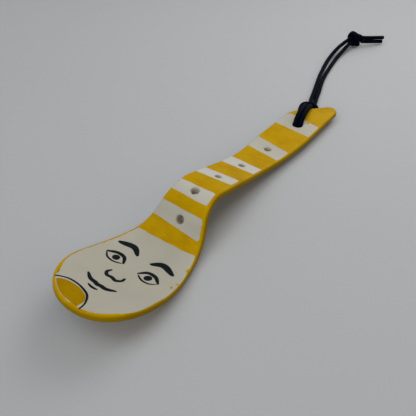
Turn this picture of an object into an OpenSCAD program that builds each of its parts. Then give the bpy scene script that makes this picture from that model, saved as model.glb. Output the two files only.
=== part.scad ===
// Face spoon wall hanging.
// One clay slab, cut out flat, draped over a form so that the bowl, the neck and the handle
// bend, and hung by a round leather cord hitched through the hole near its end.
// +X runs along the spoon from the chin of the face to the hanging end, +Y is to its left
// and +Z is up, away from the surface that the spoon lies on.
// The origin is under the middle of the spoon, on that surface.

/* [Slab] */
// Length of the flat clay blank along its middle, from the chin to the slanted end
blank_len = 288; // [270:1:310]
// Thickness of the slab
slab_t = 5.5; // [4.8:0.1:7]
// Radius of the sponged edges
edge_r = 1.8; // [0.8:0.1:2.2]

/* [Outline of the blank] */
// Width of the bowl at its widest
bowl_w = 63.5; // [52:0.5:76]
// From the chin to the widest place, along the blank
nose_len = 36; // [30:1:40]
// From the chin to where the bowl starts to narrow
shoulder_len = 40; // [40:1:50]
// From the chin to where the bowl has become the neck
neck_len = 124; // [112:1:140]
// Width of the neck
neck_w = 30.2; // [26:0.2:40]
// From the chin to the waist of the handle
waist_len = 181; // [165:1:200]
// Width of the waist
waist_w = 28.1; // [22:0.1:34]
// From the chin to where the handle reaches its full width again
flare_len = 250; // [225:1:258]
// Width of the hanging end
tail_w = 34; // [30:0.5:42]
// How far the hanging end strays to the right of the middle line
tail_stray = 1.5; // [0:0.1:3]
// Slant of the cut end, from the middle line
slant_angle = 42; // [35:1:60]
// Radius of the far corner of the slanted end
far_corner_r = 26; // [16:1:30]
// Radius of the pointed near corner
near_corner_r = 6.2; // [4:0.2:8]

/* [Bend of the slab] */
// Fall of the surface at the chin
chin_fall = 10.3; // [6:0.1:16]
// Radius of the rounded chin
chin_r = 162; // [120:1:220]
// Angle that the chin turns through
chin_turn = 14.2; // [10:0.2:18]
// Radius of the bowl's floor
bowl_r = 79; // [70:1:95]
// Radius at the foot of the neck
foot_r = 22.5; // [18:0.5:30]
// Steepness of the neck
neck_angle = 53.5; // [48:0.5:58]
// Straight rise of the neck
rise_len = 5.5; // [3:0.1:9]
// Radius of the crown between neck and handle
crown_r = 23.5; // [18:0.5:28]
// Fall of the handle behind the crown
run_angle = 17.1; // [14:0.1:18]
// Straight stretch of the handle behind the crown
run_len = 34; // [25:1:40]
// Radius of the long sweep that levels the handle out
sweep_r = 215; // [190:1:240]
// Fall that is left at the hanging end
tail_fall = 0.3; // [0:0.1:2]

/* [Hollow of the bowl] */
// Depth of the hollow
hollow_depth = 1.9; // [0:0.1:3]
// Length of the hollow
hollow_len = 116; // [100:1:120]

/* [Holes] */
// Diameter of the punched holes
hole_d = 7; // [5:0.1:8]
// Places of the five plain holes as shares of the blank
hole_shares = [0.331, 0.407, 0.498, 0.603, 0.728];
// From the cord's hole to the slanted end, along the middle line
cord_hole_back = 32.8; // [28:0.2:36]

/* [Cord] */
// Diameter of the leather cord
cord_d = 3.9; // [3:0.1:4]
// Room round the doubled cord in its hole
cord_gap = 0.35; // [0.3:0.05:0.8]
// Diameter of the knot
knot_d = 18; // [15:0.5:20]
// Running gap between the loop and the hitch that it swings in
swing_gap = 0.3; // [0.2:0.05:0.6]

/* [Hidden] */

// Facets: columns across the slab, rows round the chin, steps on the rounded edge and on
// the two corners of the end, and the longest and sharpest step along the slab
columns = 8;
chin_rows = 8;
edge_steps = 3;
corner_steps = 6;
side_steps = 4;
step_turn = 8;
step_per_width = 0.3;
round_facets = 48;
cord_sides = 8;

// Fullness of the chin's outline: 2 would be an ellipse
chin_fullness = 2.15;
// The angle, seen from the middle of the bowl, at which the first row across starts
chin_row_angle = 20;
// Share of the tail kept straight in front of its corners
corner_lead_share = 0.3;
// What a cutter passes beyond the surfaces that it cuts
overrun = 2;
// Half of the slab's width on the straight end
half_tail = tail_w / 2;

function ease(t) = let (s = max(0, min(1, t))) s * s * (3 - 2 * s);
function blend(from, to, t) = from + (to - from) * t;
function arc_len(radius, angle) = radius * angle * PI / 180;

// The bends in order, each as its length along the slab and the angle that it turns up
bowl_turn = chin_fall + chin_turn;
crown_turn = neck_angle + run_angle;
sweep_turn = run_angle - tail_fall;
bends = [
    [arc_len(chin_r, chin_turn), -chin_turn],
    [arc_len(bowl_r, bowl_turn), bowl_turn],
    [arc_len(foot_r, neck_angle), neck_angle],
    [rise_len, 0],
    [arc_len(crown_r, crown_turn), -crown_turn],
    [run_len, 0],
    [arc_len(sweep_r, sweep_turn), sweep_turn],
    [blank_len, 0]
];

// A state is a place in the side view with the slope there: [x, z, slope]
function go(state, len, turn) =
    turn == 0
    ? [state[0] + len * cos(state[2]), state[1] + len * sin(state[2]), state[2]]
    : let (r = len / (turn * PI / 180), to = state[2] + turn)
      [state[0] + r * (sin(to) - sin(state[2])), state[1] - r * (cos(to) - cos(state[2])), to];
function follow(u, i, state) =
    u <= bends[i][0] || i == len(bends) - 1
    ? go(state, u, bends[i][1] * u / bends[i][0])
    : follow(u - bends[i][0], i + 1, go(state, bends[i][0], bends[i][1]));
function side_view(u) = follow(u, 0, [0, 0, -chin_fall]);

// Half the width of the blank at u, and how far its middle strays
function chin_half(u) =
    bowl_w / 2 * pow(max(0, 1 - pow(max(0, 1 - u / nose_len), chin_fullness)), 1 / chin_fullness);
function body_width(u) =
    u < neck_len ? blend(bowl_w, neck_w, ease((u - shoulder_len) / (neck_len - shoulder_len)))
    : u < waist_len ? blend(neck_w, waist_w, ease((u - neck_len) / (waist_len - neck_len)))
    : blend(waist_w, tail_w, ease((u - waist_len) / (flare_len - waist_len)));
function half_width(u) = u < nose_len ? chin_half(u) : body_width(u) / 2;
function stray(u) = -tail_stray * ease((u - waist_len) / (flare_len - waist_len));

// Depth of the hollow at a place of the blank
hollow_mid = hollow_len / 2;
function hollow(u, v) =
    hollow_depth * ease(1 - pow(v / (bowl_w / 2), 2) - pow((u - hollow_mid) / hollow_mid, 2));

// A place of the flat blank, along u, across v and h above its top, on the draped slab
function drape(u, v, h) =
    let (s = side_view(u), lift = h - hollow(u, v))
    [s[0] - sin(s[2]) * lift, v, s[1] + cos(s[2]) * lift];

// Rows across the blank. Each row has a left and a right end on the outline.
function chin_point(angle) =
    [nose_len * (1 - pow(cos(angle), 2 / chin_fullness)),
     bowl_w / 2 * pow(sin(angle), 2 / chin_fullness)];
chin_left = [for (i = [0 : chin_rows])
    chin_point(blend(chin_row_angle, 90, i / chin_rows))];

// The slanted end: where its line would meet the two sides, and the corner arcs on it
half_open = slant_angle / 2;
far_apex = [blank_len - (half_tail - tail_stray) / tan(slant_angle), half_tail - tail_stray];
near_apex = [blank_len + (half_tail + tail_stray) / tan(slant_angle), -half_tail - tail_stray];
far_lead = far_corner_r * tan(half_open);
near_lead = near_corner_r / tan(half_open);
far_centre = [far_apex[0] - far_lead, far_apex[1] - far_corner_r];
near_centre = [near_apex[0] - near_lead, near_apex[1] + near_corner_r];
tail_start = far_centre[0] - corner_lead_share * tail_w;
function round_point(centre, radius, angle) =
    [centre[0] + radius * cos(angle), centre[1] + radius * sin(angle)];
tail_left = concat(
    [for (i = [1 : side_steps])
        let (u = blend(tail_start, far_centre[0], i / side_steps)) [u, half_width(u) + stray(u)]],
    [for (i = [1 : corner_steps])
        round_point(far_centre, far_corner_r, 90 - slant_angle * i / corner_steps)]);
tail_right = concat(
    [for (i = [1 : side_steps])
        let (u = blend(tail_start, near_centre[0], i / side_steps)) [u, stray(u) - half_width(u)]],
    [for (i = [1 : corner_steps])
        round_point(near_centre, near_corner_r, -90 + (180 - slant_angle) * i / corner_steps)]);

// Stations between chin and tail: each bend is cut by its turn and by its length
bend_ends = [for (i = 0, u = 0; i < len(bends); u = u + bends[i][0], i = i + 1) u];
function cuts(bend) =
    max(1, ceil(abs(bend[1]) / step_turn), ceil(bend[0] / (step_per_width * neck_w)));
stations = concat([nose_len], [
    for (i = [0 : len(bends) - 1])
        for (k = [1 : cuts(bends[i])])
            let (u = bend_ends[i] + bends[i][0] * k / cuts(bends[i]))
                if (u > nose_len + edge_r && u < tail_start - edge_r) u
], [tail_start]);

left_ends = concat([for (p = chin_left) if (p[0] < nose_len) p],
    [for (u = stations) [u, half_width(u) + stray(u)]], tail_left);
right_ends = concat([for (p = chin_left) if (p[0] < nose_len) [p[0], -p[1]]],
    [for (u = stations) [u, stray(u) - half_width(u)]], tail_right);
last_row = len(left_ends) - 1;

// The outline as one ring: left side, slanted end, right side, chin
ring_len = 2 * (last_row + columns);
function ring_place(i) =
    i <= last_row ? [i, 0]
    : i <= last_row + columns ? [last_row, i - last_row]
    : i <= 2 * last_row + columns ? [2 * last_row + columns - i, columns]
    : [0, ring_len - i];
function across(a, b, c) = [blend(a[0], b[0], c / columns), blend(a[1], b[1], c / columns)];
chin_ring = [for (c = [0 : columns])
    let (angle = chin_row_angle * (1 - 2 * c / columns), p = chin_point(abs(angle)))
        [p[0], angle < 0 ? -p[1] : p[1]]];
ring = [for (i = [0 : ring_len - 1])
    let (place = ring_place(i), row = place[0], column = place[1])
        column == 0 ? left_ends[row]
        : column == columns ? right_ends[row]
        : row == 0 ? chin_ring[column]
        : across(left_ends[row], right_ends[row], column)];

// The ring drawn in by a distance, square to the outline
function inward(i) =
    let (a = ring[(i + ring_len - 1) % ring_len], b = ring[(i + 1) % ring_len], d = b - a)
        [d[1], -d[0]] / norm(d);
function drawn_in(i, distance) = ring[i] + inward(i) * distance;

// Rows of the rounded edge from the top down: how far each is drawn in, and its height
edge_rows = concat(
    [for (k = [0 : edge_steps]) let (a = 90 - 90 * k / edge_steps)
        [edge_r * (1 - cos(a)), -edge_r * (1 - sin(a))]],
    [for (k = [0 : edge_steps]) let (a = 90 * k / edge_steps)
        [edge_r * (1 - cos(a)), -slab_t + edge_r * (1 - sin(a))]]);
last_edge = len(edge_rows) - 1;

// The flat face is a grid from the left to the right side, drawn in by the edge radius
function face_point(row, column) =
    row == 0 ? drawn_in((ring_len - column) % ring_len, edge_r)
    : row == last_row ? drawn_in(last_row + column, edge_r)
    : across(drawn_in(row, edge_r), drawn_in(2 * last_row + columns - row, edge_r), column);
face_cells = [for (row = [0 : last_row]) for (column = [0 : columns]) face_point(row, column)];
face_len = len(face_cells);

slab_points = concat(
    [for (p = face_cells) drape(p[0], p[1], 0)],
    [for (p = face_cells) drape(p[0], p[1], -slab_t)],
    [for (k = [1 : last_edge - 1]) for (i = [0 : ring_len - 1])
        let (p = drawn_in(i, edge_rows[k][0])) drape(p[0], p[1], edge_rows[k][1])]);
function face_index(row, column) = row * (columns + 1) + column;
function edge_index(k, i) =
    let (j = i % ring_len, place = ring_place(j), cell = face_index(place[0], place[1]))
        k == 0 ? cell : k == last_edge ? face_len + cell
        : 2 * face_len + (k - 1) * ring_len + j;
slab_faces = concat(
    [for (row = [0 : last_row - 1]) for (column = [0 : columns - 1])
        let (a = face_index(row, column), b = face_index(row + 1, column))
            each [[a, b, a + 1], [a + 1, b, b + 1]]],
    [for (row = [0 : last_row - 1]) for (column = [0 : columns - 1])
        let (a = face_len + face_index(row, column), b = face_len + face_index(row + 1, column))
            each [[a, a + 1, b], [a + 1, b + 1, b]]],
    [for (k = [0 : last_edge - 1]) for (i = [0 : ring_len - 1])
        let (a = edge_index(k, i), b = edge_index(k, i + 1),
             c = edge_index(k + 1, i), d = edge_index(k + 1, i + 1))
            each [[a, c, b], [b, c, d]]]);

// The spoon is moved so that it rests on z = 0 with the origin under its middle
slab_x = [for (p = slab_points) p[0]];
slab_z = [for (p = slab_points) p[2]];
seat = [-(min(slab_x) + max(slab_x)) / 2, 0, -min(slab_z)];
function hole_spot(u, h) = seat + drape(u, stray(u), h);
cord_hole_u = blank_len - cord_hole_back;
cord_hole_d = 2 * (cord_d + cord_gap);
cord_hole = hole_spot(cord_hole_u, 0);

// The cord's route, from the middle of its hole. Points of the hitch are [out, side, height]:
// out towards the end, to the left side, and above the table. The two strands come in past the
// slanted end, run back over the slab in an arch, go down the hole, forward under the slab and
// round themselves in a bar.
hitch_angle = 13;
hitch_half = [
    [44.6, 2.05, 2], [42.5, 2.05, 2.3], [39.5, 2.05, 3.3], [37, 2.05, 5], [34.5, 2.05, 7.4],
    [31.5, 2.05, 10.2], [28, 2.05, 12.3], [23.5, 2.05, 14.4], [17, 2.05, 16.2],
    [11, 2.05, 16.7], [6.2, 2.05, 15.3], [2.8, 2.05, 12.9], [0.9, 2.05, 10.4],
    [0.5, 2.05, 5.6], [1.1, 2.05, 3.2], [3.3, 2.2, 2], [12, 3.2, 2], [22, 5.2, 2],
    [28.5, 6.5, 2], [33, 7, 2.1], [37, 7, 4], [38.9, 6, 6.3], [39.2, 3.6, 8.3], [39.2, 0, 9]
];
hitch_route = concat(hitch_half, [
    for (i = [len(hitch_half) - 2 : -1 : 0])
        [hitch_half[i][0], -hitch_half[i][1], hitch_half[i][2]]
]);
// Points of the loop are [along the spoon, to its left, above the table]
strand_left = [
    [38.5, 11, 2], [48.3, 13.3, 2], [57.3, 16.3, 2], [68.5, 19.9, 2], [91.8, 27.8, 2],
    [104.2, 31.7, 2], [117.5, 35.4, 2], [131, 38.7, 2.3], [143.5, 40.7, 3.6],
    [155.2, 41, 5.9], [164, 40.5, 7.7], [171.6, 39.7, 8.8], [179.9, 38.8, 9.4]
];
strand_right = [
    [39.4, 7, 2], [49.2, 9.2, 2], [59.8, 12.8, 2], [71.1, 16.4, 2], [94.3, 24.3, 2],
    [107.3, 27.7, 2], [121.4, 30.6, 2], [136, 33.3, 2], [150.2, 35.2, 2.7],
    [163.3, 35.8, 4.4], [171.5, 35.8, 5.9], [177.8, 35.5, 7.1]
];
knot_at = [187.6, 35.2];
knot_angle = -30;
knot_turns = 3;
knot_pitch_share = 0.27;
knot_core_share = 0.8;
end_long = [
    [193.2, 28.8, 10.2], [201.1, 22.8, 9], [209.9, 16.7, 7.8], [213.8, 14.2, 7.2]
];
end_short = [
    [192.8, 28.3, 6.2], [201.6, 21.9, 4.9], [208.6, 16.8, 3.9], [212, 14.5, 3.4]
];
// The loop swings about a place just past the ends of the hitch, where its strands leave it
pivot_out = hitch_half[0][0] + cord_d + 2 * swing_gap;
// The direction that the first corner of a tube's rings is carried along from
ring_start = [0.1, 1, 0.1];

// A tube of cord_sides sides along a route: each ring stands square to the way at its point
function unit(v) = v / norm(v);
function heading(route, i) =
    unit(route[min(i + 1, len(route) - 1)] - route[max(i - 1, 0)]);
function carry(route, i, up) =
    let (t = heading(route, i), across_up = up - t * (up * t)) unit(across_up);
function uprights(route, i = 0, up = ring_start) =
    i == len(route) ? []
    : let (now = carry(route, i, up)) concat([now], uprights(route, i + 1, now));

module tube(route) {
    ups = uprights(route);
    rings = len(route);
    points = [for (i = [0 : rings - 1]) for (k = [0 : cord_sides - 1])
        let (t = heading(route, i), a = 360 * (k + 0.5) / cord_sides, side = cross(t, ups[i]))
            route[i] + (ups[i] * cos(a) + side * sin(a)) * cord_d / 2];
    walls = [for (i = [0 : rings - 2]) for (k = [0 : cord_sides - 1])
        let (a = i * cord_sides + k, b = i * cord_sides + (k + 1) % cord_sides)
            each [[a, a + cord_sides, b], [b, a + cord_sides, b + cord_sides]]];
    caps = [for (k = [1 : cord_sides - 2])
        each [[0, k, k + 1],
              [(rings - 1) * cord_sides, (rings - 1) * cord_sides + k + 1,
               (rings - 1) * cord_sides + k]]];
    polyhedron(points = points, faces = concat(walls, caps));
}

module at_cord_hole() {
    translate([cord_hole[0], cord_hole[1], 0]) children();
}

module at_hitch() {
    at_cord_hole() rotate([0, 0, hitch_angle]) children();
}

module slab() {
    translate(seat) polyhedron(points = slab_points, faces = slab_faces);
}

module punch(u, width) {
    slope = side_view(u)[2];
    translate(hole_spot(u, -slab_t / 2)) rotate([0, -slope, 0])
        cylinder(d = width, h = slab_t + 2 * overrun, center = true, $fn = round_facets);
}

module spoon() {
    color("ivory") difference() {
        slab();
        for (share = hole_shares) punch(share * blank_len, hole_d);
        punch(cord_hole_u, cord_hole_d);
    }
}

module cord_hitch() {
    color([0.07, 0.08, 0.1]) at_hitch() tube(hitch_route);
}

// What lies behind the pivot is trimmed round, so that it turns clear of the hitch
module behind_pivot() {
    length = 4 * cord_d;
    height = 2 * cord_d;
    difference() {
        translate([pivot_out - length, -length / 2, -overrun])
            cube([length, length, height + overrun]);
        translate([pivot_out, 0, -overrun])
            cylinder(r = cord_d + swing_gap, h = height + overrun, $fn = round_facets);
    }
}

module strand(route) {
    color([0.07, 0.08, 0.1]) difference() {
        at_cord_hole() tube(route);
        at_hitch() behind_pivot();
    }
}

module cord_strand_left() {
    strand(strand_left);
}

module cord_strand_right() {
    strand(strand_right);
}

// The knot of both strands: turns that lie side by side round a core
module cord_knot() {
    pitch = knot_d * knot_pitch_share;
    turn_r = pitch / 2;
    color([0.07, 0.08, 0.1]) at_cord_hole()
        translate([knot_at[0], knot_at[1], knot_d / 2]) rotate([0, 90, knot_angle])
        rotate_extrude($fn = round_facets) {
            for (i = [0 : knot_turns - 1])
                translate([knot_d / 2 - turn_r, pitch * (i - (knot_turns - 1) / 2)])
                    circle(r = turn_r, $fn = round_facets);
            translate([0, -pitch * knot_turns / 2])
                square([knot_d / 2 * knot_core_share, pitch * knot_turns]);
        }
}

module cord_end_long() {
    color([0.07, 0.08, 0.1]) at_cord_hole() tube(end_long);
}

module cord_end_short() {
    color([0.07, 0.08, 0.1]) at_cord_hole() tube(end_short);
}

spoon();
cord_hitch();
cord_strand_left();
cord_strand_right();
cord_knot();
cord_end_long();
cord_end_short();
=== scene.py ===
# %% [markdown]
# A hand-built ceramic spoon that hangs on a wall. It was cut from one flat slab of clay, draped
# over a form so that the bowl, the neck and the handle bend, punched with six holes, glazed in
# warm white and painted with yellow and black. A round leather cord is hitched through the
# last hole and knotted to a loop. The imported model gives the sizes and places, and every cell
# below makes one piece or one finish around it.

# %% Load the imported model
import math

import bpy
import numpy as np
from mathutils import Matrix, Vector, geometry, noise


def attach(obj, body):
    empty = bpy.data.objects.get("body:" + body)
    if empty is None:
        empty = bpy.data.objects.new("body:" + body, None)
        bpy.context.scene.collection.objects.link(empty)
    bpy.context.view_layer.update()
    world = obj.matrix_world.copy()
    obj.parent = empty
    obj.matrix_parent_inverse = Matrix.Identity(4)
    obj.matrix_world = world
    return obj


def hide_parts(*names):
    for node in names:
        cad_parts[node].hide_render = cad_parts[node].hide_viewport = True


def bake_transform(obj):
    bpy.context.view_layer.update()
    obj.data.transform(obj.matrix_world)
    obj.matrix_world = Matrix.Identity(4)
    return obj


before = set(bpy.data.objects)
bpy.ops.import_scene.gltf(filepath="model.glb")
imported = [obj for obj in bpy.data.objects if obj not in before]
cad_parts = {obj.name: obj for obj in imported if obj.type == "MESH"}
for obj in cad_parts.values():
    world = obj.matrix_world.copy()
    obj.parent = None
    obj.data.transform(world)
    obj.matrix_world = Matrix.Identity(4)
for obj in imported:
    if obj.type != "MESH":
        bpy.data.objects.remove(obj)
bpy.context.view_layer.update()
MM = 0.001

# %% [markdown]
# The camera stands where the photograph was taken from: in front of the bowl and to its right,
# looking down along the spoon towards the cord. A photograph's view is a place, three angles
# and a lens. The angles are easiest to read as a heading, a tilt down and a small roll, so the
# matrix is built from those three turns in that order.

# %% Camera
CAMERA_AT = Vector((-210.3, -142.5, 228.4)) * MM
HEADING = math.radians(37.1)
TILT_DOWN = math.radians(43.56)
ROLL = math.radians(0.47)
SENSOR_WIDTH = 36.0
LENS = 40.5
NEAREST_SEEN = 10 * MM


def add_camera():
    data = bpy.data.cameras.new("camera")
    data.sensor_width = SENSOR_WIDTH
    data.lens = LENS
    data.clip_start = NEAREST_SEEN
    camera = bpy.data.objects.new("camera", data)
    turn = (
        Matrix.Rotation(HEADING - math.pi / 2, 4, "Z")
        @ Matrix.Rotation(math.pi / 2 - TILT_DOWN, 4, "X")
        @ Matrix.Rotation(ROLL, 4, "Z")
    )
    camera.matrix_world = Matrix.Translation(CAMERA_AT) @ turn
    bpy.context.scene.collection.objects.link(camera)
    bpy.context.scene.camera = camera


add_camera()
print("camera height in mm:", round(CAMERA_AT.z / MM, 1))

# %% [markdown]
# The clay was cut out flat, so its outline is easiest to describe flat: u runs along the
# blank from the chin, v runs across to the left, and h goes up from its top. One function
# then bends that flat place onto the draped slab. The bends are arcs that meet without a
# kink, as clay takes the shape of a form, so the side view is followed arc by arc.

# %% The blank and its bends
BLANK_LEN = 288 * MM
SLAB_T = 5.5 * MM
EDGE_R = 1.8 * MM
BOWL_W = 63.5 * MM
NOSE_LEN = 36 * MM
SHOULDER_LEN = 40 * MM
NECK_LEN = 124 * MM
NECK_W = 30.2 * MM
WAIST_LEN = 181 * MM
WAIST_W = 28.1 * MM
FLARE_LEN = 250 * MM
TAIL_W = 34 * MM
TAIL_STRAY = 1.5 * MM
SLANT = math.radians(42)
FAR_CORNER_R = 26 * MM
NEAR_CORNER_R = 6.2 * MM
CHIN_FULLNESS = 2.15
CHIN_FALL = math.radians(10.3)
HOLLOW_DEPTH = 1.9 * MM
HOLLOW_LEN = 116 * MM
HOLE_R = 3.5 * MM
HOLE_SHARES = (0.331, 0.407, 0.498, 0.603, 0.728)
CORD_D = 3.9
CORD_GAP = 0.35
CORD_HOLE_R = (CORD_D + CORD_GAP) * MM
CORD_HOLE_BACK = 32.8 * MM
print("blank in mm:", BLANK_LEN / MM, "long and", BOWL_W / MM, "wide")

# %% [markdown]
# Each bend has its own length and turn, and starts with the slope that the one before it ends
# with, so the side view at any u is found by going through them one by one. The width goes from
# the bowl to the neck, the waist and the tail in eased steps, and the bowl is pressed in by a
# smooth hollow.

# %% Bending the blank


def arc(radius, turn):
    """A bend as its length and the angle that it turns up."""
    return abs(radius * math.radians(turn)), math.radians(turn)


BENDS = (
    arc(162 * MM, -14.2),
    arc(79 * MM, 24.5),
    arc(22.5 * MM, 53.5),
    (5.5 * MM, 0),
    arc(23.5 * MM, -70.6),
    (34 * MM, 0),
    arc(215 * MM, 16.8),
    (BLANK_LEN, 0),
)


def ease(t):
    t = np.clip(t, 0, 1)
    return t * t * (3 - 2 * t)


def side_view(u):
    """Along, height and slope of the bent middle line at each length u."""
    along, height = np.zeros_like(u), np.zeros_like(u)
    slope, left = np.full_like(u, -CHIN_FALL), u.copy()
    for length, turn in BENDS:
        part = np.clip(left, 0, length)
        after = slope + turn * part / length
        if turn:
            radius = length / turn
            along += radius * (np.sin(after) - np.sin(slope))
            height -= radius * (np.cos(after) - np.cos(slope))
        else:
            along += part * np.cos(slope)
            height += part * np.sin(slope)
        slope, left = after, left - part
    return along, height, slope


def half_width(u):
    """Half the width of the blank at each u."""
    nose = np.clip(1 - u / NOSE_LEN, 0, 1) ** CHIN_FULLNESS
    chin = BOWL_W / 2 * np.clip(1 - nose, 0, 1) ** (1 / CHIN_FULLNESS)
    bowl = ease((u - SHOULDER_LEN) / (NECK_LEN - SHOULDER_LEN))
    neck = ease((u - NECK_LEN) / (WAIST_LEN - NECK_LEN))
    tail = ease((u - WAIST_LEN) / (FLARE_LEN - WAIST_LEN))
    width = BOWL_W + (NECK_W - BOWL_W) * bowl + (WAIST_W - NECK_W) * neck
    return np.where(u < NOSE_LEN, chin, (width + (TAIL_W - WAIST_W) * tail) / 2)


def stray(u):
    """How far the middle of the handle lies to the left; below zero, it lies to the right."""
    return -TAIL_STRAY * ease((u - WAIST_LEN) / (FLARE_LEN - WAIST_LEN))


def hollow(u, v):
    middle = HOLLOW_LEN / 2
    return HOLLOW_DEPTH * ease(1 - (v / (BOWL_W / 2)) ** 2 - ((u - middle) / middle) ** 2)


def drape(flat):
    """Bends flat places, rows of u, v and h, onto the slab, before it is moved to its seat."""
    u, v, h = flat.T
    along, height, slope = side_view(u)
    lift = h - hollow(u, v)
    return np.stack([along - np.sin(slope) * lift, v, height + np.cos(slope) * lift], axis=1)


waist = np.ravel(side_view(np.array([WAIST_LEN])))
print("the waist lies in mm along and up:", np.round(waist[:2] / MM, 1))

# %% [markdown]
# The outline goes once round the blank: the full curve of the chin, the side of the bowl and
# the handle, the slanted cut between its two rounded corners, and back. It is sampled finely
# and then spaced evenly, so that the rim gets even faces. Hand-cut clay is never quite straight,
# so each side of the handle swells by about a millimetre: how much, round which place and over
# what length.

# %% Outline of the blank
RIM_STEP = 1.0 * MM
HALF_TAIL = TAIL_W / 2
LEFT_SWELL = (1.4 * MM, 220 * MM, 18 * MM)
RIGHT_SWELL = (0.9 * MM, 205 * MM, 40 * MM)
CHIN_SAMPLES, SIDE_SAMPLES, ARC_SAMPLES = 300, 900, 40
NOSE_INSIDE, NOSE_OUTSIDE = NOSE_LEN * 0.999999, NOSE_LEN * 1.001


def arc_points(centre, radius, start, turn):
    angles = start + turn * np.linspace(0, 1, ARC_SAMPLES)
    return centre + radius * np.stack([np.cos(angles), np.sin(angles)], axis=1)


def side_points(start, end, side):
    u = np.linspace(start, end, SIDE_SAMPLES)
    size, middle, reach = LEFT_SWELL if side > 0 else RIGHT_SWELL
    swell = size * np.exp(-(((u - middle) / reach) ** 2))
    return np.stack([u, stray(u) + side * (half_width(u) + swell)], axis=1)


def run_along(points):
    """How far along a line each of its points is."""
    return np.append(0, np.cumsum(np.linalg.norm(np.diff(points, axis=0), axis=1)))


def at_places(points, places):
    """Points at some lengths along a line."""
    run = run_along(points)
    return np.stack([np.interp(places, run, points[:, k]) for k in range(points.shape[1])], axis=1)


def even_ring(points, step):
    """Points at even steps round a closed line."""
    closed = np.vstack([points, points[:1]])
    end = run_along(closed)[-1]
    return at_places(closed, np.linspace(0, end, round(end / step), endpoint=False))


def blank_outline():
    far_apex = BLANK_LEN - (HALF_TAIL - TAIL_STRAY) / math.tan(SLANT)
    near_apex = BLANK_LEN + (HALF_TAIL + TAIL_STRAY) / math.tan(SLANT)
    far = (far_apex - FAR_CORNER_R * math.tan(SLANT / 2), HALF_TAIL - TAIL_STRAY - FAR_CORNER_R)
    near = (near_apex - NEAR_CORNER_R / math.tan(SLANT / 2), NEAR_CORNER_R - HALF_TAIL - TAIL_STRAY)
    chin_turn = np.linspace(0, math.pi / 2, CHIN_SAMPLES)
    chin_u = NOSE_LEN * (1 - np.cos(chin_turn) ** (2 / CHIN_FULLNESS))
    chin = np.stack([chin_u, half_width(np.minimum(chin_u, NOSE_INSIDE))], axis=1)
    return np.vstack(
        [
            chin,
            side_points(NOSE_OUTSIDE, far[0], 1),
            arc_points(far, FAR_CORNER_R, math.pi / 2, -SLANT),
            arc_points(near, NEAR_CORNER_R, math.pi / 2 - SLANT, SLANT - math.pi),
            side_points(near[0], NOSE_OUTSIDE, -1),
            (chin * (1, -1))[:0:-1],
        ]
    )


outline = even_ring(blank_outline(), RIM_STEP)


def inward_normals(ring):
    way = np.roll(ring, -1, axis=0) - np.roll(ring, 1, axis=0)
    return np.stack([way[:, 1], -way[:, 0]], axis=1) / np.linalg.norm(way, axis=1)[:, None]


inward = inward_normals(outline)
print("points round the rim:", len(outline))

# %% [markdown]
# The two faces of the slab are flat sheets with holes. A grid of triangles that fits the rim
# and the holes exactly comes from Blender's own Delaunay routine, with a ring of points at
# each border as its fixed edges. The face of the bowl gets a fine grid, because the painted
# lines are stored point by point, and the handle a wider one. Glaze has narrowed the five small
# holes at the top, each by a little more or less, and they taper towards the back.

# %% Flat faces with holes
FINE_STEP = 0.5 * MM
WIDE_STEP = 1.3 * MM
BACK_STEP = 2.2 * MM
FINE_UNTIL = 74 * MM
HOLE_SIDES = 48
LIP_R = 0.7 * MM
GLAZE_IN_HOLES = (0.45 * MM, 0.4 * MM, 0.95 * MM, 0.85 * MM, 0.5 * MM)
HOLE_TAPER = 0.55
BORDER_SHARE = 0.62
MERGE_WITHIN = 1e-5


def on_middle_line(u):
    return np.array([u, float(stray(np.array(u)))])


def circle(centre, radius):
    turn = np.arange(HOLE_SIDES) * 2 * math.pi / HOLE_SIDES
    return centre + radius * np.stack([np.cos(turn), np.sin(turn)], axis=1)


def inside(points, ring):
    """Whether each point lies inside a closed line, by counting crossings."""
    found = np.zeros(len(points), bool)
    for (u0, v0), (u1, v1) in zip(ring, np.roll(ring, -1, axis=0)):
        crosses = (v0 > points[:, 1]) != (v1 > points[:, 1])
        if v0 != v1:
            found ^= crosses & (points[:, 0] < (u1 - u0) * (points[:, 1] - v0) / (v1 - v0) + u0)
    return found


def clearance(points, ring):
    nearest = np.full(len(points), np.inf)
    for place in ring:
        nearest = np.minimum(nearest, np.hypot(*(points - place).T))
    return nearest


def grid(step, start, end):
    """A triangular grid of points over the blank between two lengths."""
    rows = np.arange(start, end, step * math.sqrt(3) / 2)
    columns = np.arange(-BOWL_W / 2 - step, BOWL_W / 2 + step, step)
    u, v = np.meshgrid(rows, columns, indexing="ij")
    v = v + (np.arange(len(rows)) % 2 * step / 2)[:, None]
    return np.stack([u.ravel(), v.ravel()], axis=1)


def sheet(rings, zones):
    """Points and triangles of a flat sheet: rings[0] is its border, the others are holes."""
    points, edges = [p for ring in rings for p in ring], []
    first = 0
    for ring in rings:
        edges += [(first + i, first + (i + 1) % len(ring)) for i in range(len(ring))]
        first += len(ring)
    for step, start, end in zones:
        free = grid(step, start, end)
        free = free[inside(free, rings[0])]
        for ring in rings:
            free = free[clearance(free, ring) > BORDER_SHARE * step]
        for ring in rings[1:]:
            free = free[~inside(free, ring)]
        points += list(free)
    flat = np.array(points)
    made = geometry.delaunay_2d_cdt([Vector(p / MM) for p in flat], edges, [], 0, MERGE_WITHIN)
    assert len(made[0]) == len(flat), "the grid must keep its points"
    triangles = np.array(made[2])
    middles = flat[triangles].mean(axis=1)
    keep = inside(middles, rings[0])
    for ring in rings[1:]:
        keep &= ~inside(middles, ring)
    return flat, triangles[keep]


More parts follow.
